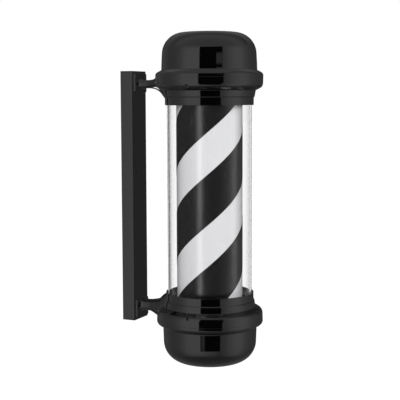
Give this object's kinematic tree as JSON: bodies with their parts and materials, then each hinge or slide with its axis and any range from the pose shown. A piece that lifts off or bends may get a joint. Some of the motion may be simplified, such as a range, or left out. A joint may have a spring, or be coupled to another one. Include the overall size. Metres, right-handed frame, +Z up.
{
  "type": "barber pole",
  "caption": "Wall-mounted barber pole: a striped drum turns inside a clear tube between two domed black end caps, held off a flat wall rail by two short arms.",
  "frame": {"origin": "middle of the wall plate's back face, on the wall plane and level with the middle of the pole", "axes": "+X out from the wall towards the pole, +Z up along the pole's axis, +Y to the left of someone who looks at the wall"},
  "size_m": [0.2778, 0.2036, 0.63],
  "materials": {
    "cap_paint": "gloss black enamel on cast aluminium",
    "rail_paint": "semi-gloss black paint on aluminium",
    "zinc_plate": "zinc-plated sheet steel",
    "zinc_screw": "zinc-plated steel",
    "black_screw": "black oxide steel",
    "seal_rubber": "matt black rubber",
    "clear_tube": "clear extruded acrylic",
    "terminal_body": "off-white nylon",
    "terminal_brass": "plain brass",
    "post_metal": "plain aluminium",
    "flange_plastic": "dark grey nylon",
    "strip_board": "white circuit board",
    "chip_face": "yellow phosphor lamp chips",
    "driver_case": "light grey plastic",
    "lead_jacket": "light grey PVC",
    "gear_metal": "bright steel",
    "washer_plastic": "natural acetal",
    "drum_white": "opal white plastic",
    "film_black": "black vinyl film",
    "hub_brass": "turned brass"
  },
  "bodies": {
    "pole": {"wall_plate": "zinc_plate", "rail": "rail_paint", "rail_top_cap": "rail_paint", "rail_bottom_cap": "rail_paint", "rail_screws": "zinc_screw", "cable_grommet": "seal_rubber", "terminal_block": "terminal_body", "terminal_screws": "terminal_brass", "block_screws": "zinc_screw", "top_arm": "cap_paint", "bottom_arm": "cap_paint", "foot_screws": "zinc_screw", "arm_screws": "zinc_screw", "top_collar": "cap_paint", "bottom_collar": "cap_paint", "top_dome": "cap_paint", "bottom_bowl": "cap_paint", "top_dome_seal": "seal_rubber", "bottom_bowl_seal": "seal_rubber", "cap_screws": "black_screw", "outer_tube": "clear_tube", "top_tube_gasket": "seal_rubber", "bottom_tube_gasket": "seal_rubber", "top_plate": "zinc_plate", "bottom_plate": "zinc_plate", "inner_plate_screws": "zinc_screw", "lamp_post": "post_metal", "lamp_flange": "flange_plastic", "lamp_flange_screws": "zinc_screw", "led_strips": "strip_board", "led_chips": "chip_face", "lamp_driver": "driver_case", "driver_screws": "zinc_screw", "lamp_lead": "lead_jacket", "driver_lead": "lead_jacket", "lead_grommets": "seal_rubber", "gear_case": "gear_metal", "motor_can": "gear_metal", "motor_screws": "zinc_screw", "motor_nuts": "zinc_screw", "motor_lead": "lead_jacket", "thrust_washer": "washer_plastic"},
    "drum": {"drum_tube": "drum_white", "stripe_film": "film_black", "drum_top_disc": "drum_white", "drum_bottom_disc": "drum_white", "disc_screws": "zinc_screw", "top_bush": "washer_plastic", "drive_hub": "hub_brass", "hub_screws": "zinc_screw", "hub_set_screw": "black_screw", "motor_shaft": "gear_metal"}
  },
  "joints": [
    {"name": "drum_spin", "type": "hinge", "parent": "pole", "child": "drum", "pos_m": [0.176, 0, 0], "axis": [0, 0, 1], "continuous": true}
  ]
}
